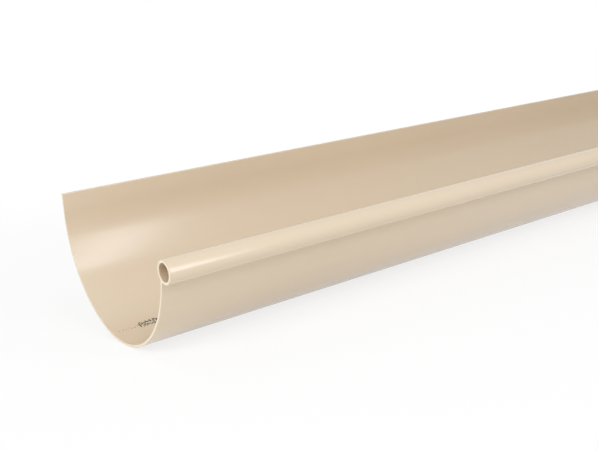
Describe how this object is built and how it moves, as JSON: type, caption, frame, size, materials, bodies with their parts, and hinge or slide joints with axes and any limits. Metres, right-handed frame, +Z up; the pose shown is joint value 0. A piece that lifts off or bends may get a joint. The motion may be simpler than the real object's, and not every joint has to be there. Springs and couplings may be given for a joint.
{
  "type": "half-round eaves gutter section",
  "caption": "Sand PVC half-round eaves gutter, extruded with a raised back edge and a hollow round bead along its front, sawn square at both ends.",
  "frame": {"origin": "centre of the bounding box's underside: on the floor, halfway along the gutter and halfway across it", "axes": "+X along the gutter, -Y towards the front bead, +Y towards the back wall, +Z up and out of the open side. The section leans 9.6 degrees about X towards the bead, as it lies by itself on a level floor"},
  "size_m": [2, 0.1258, 0.0806],
  "materials": {
    "pvc_sand": "satin"
  },
  "bodies": {
    "root": {"gutter": "pvc_sand"}
  },
  "joints": []
}
